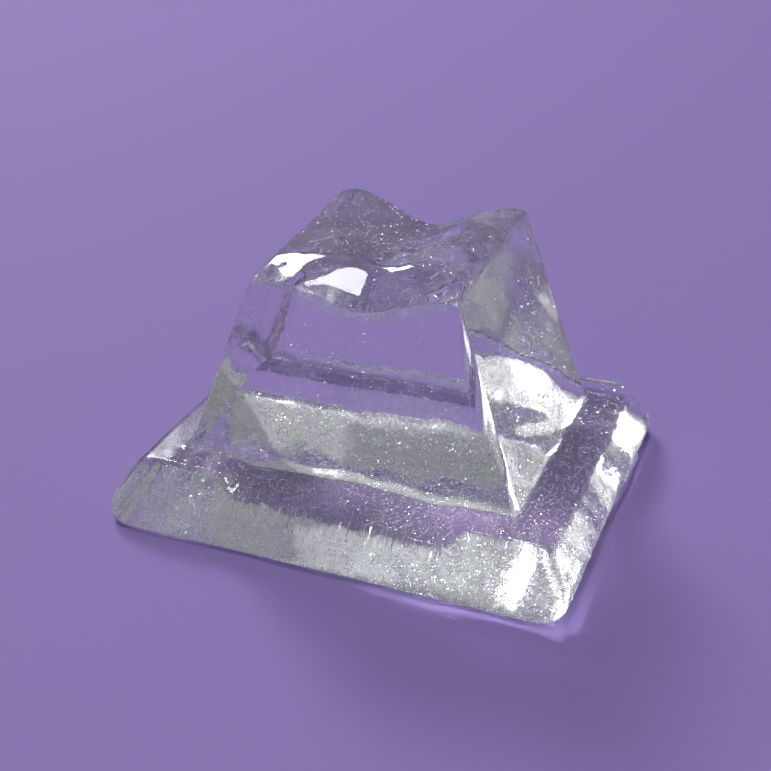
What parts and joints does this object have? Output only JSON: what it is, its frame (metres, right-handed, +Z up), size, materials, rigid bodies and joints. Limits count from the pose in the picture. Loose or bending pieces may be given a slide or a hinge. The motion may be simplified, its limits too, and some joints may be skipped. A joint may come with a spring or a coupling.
{
  "type": "ice block",
  "caption": "Block of clear ice: a broad slab with bevelled sides under a four-sided frustum with a trough melted into its top.",
  "frame": {"origin": "middle of the footprint, on the flat face the block stands on", "axes": "+Z up, +X along the slab's long side, and the worn front edge faces -Y"},
  "size_m": [0.122, 0.103, 0.0702],
  "materials": {
    "clear_ice": "clear ice with a wet gloss on top, fine air bubbles inside, and a scratched, lightly frosted underside"
  },
  "bodies": {
    "root": {"ice_block": "clear_ice"}
  },
  "joints": []
}
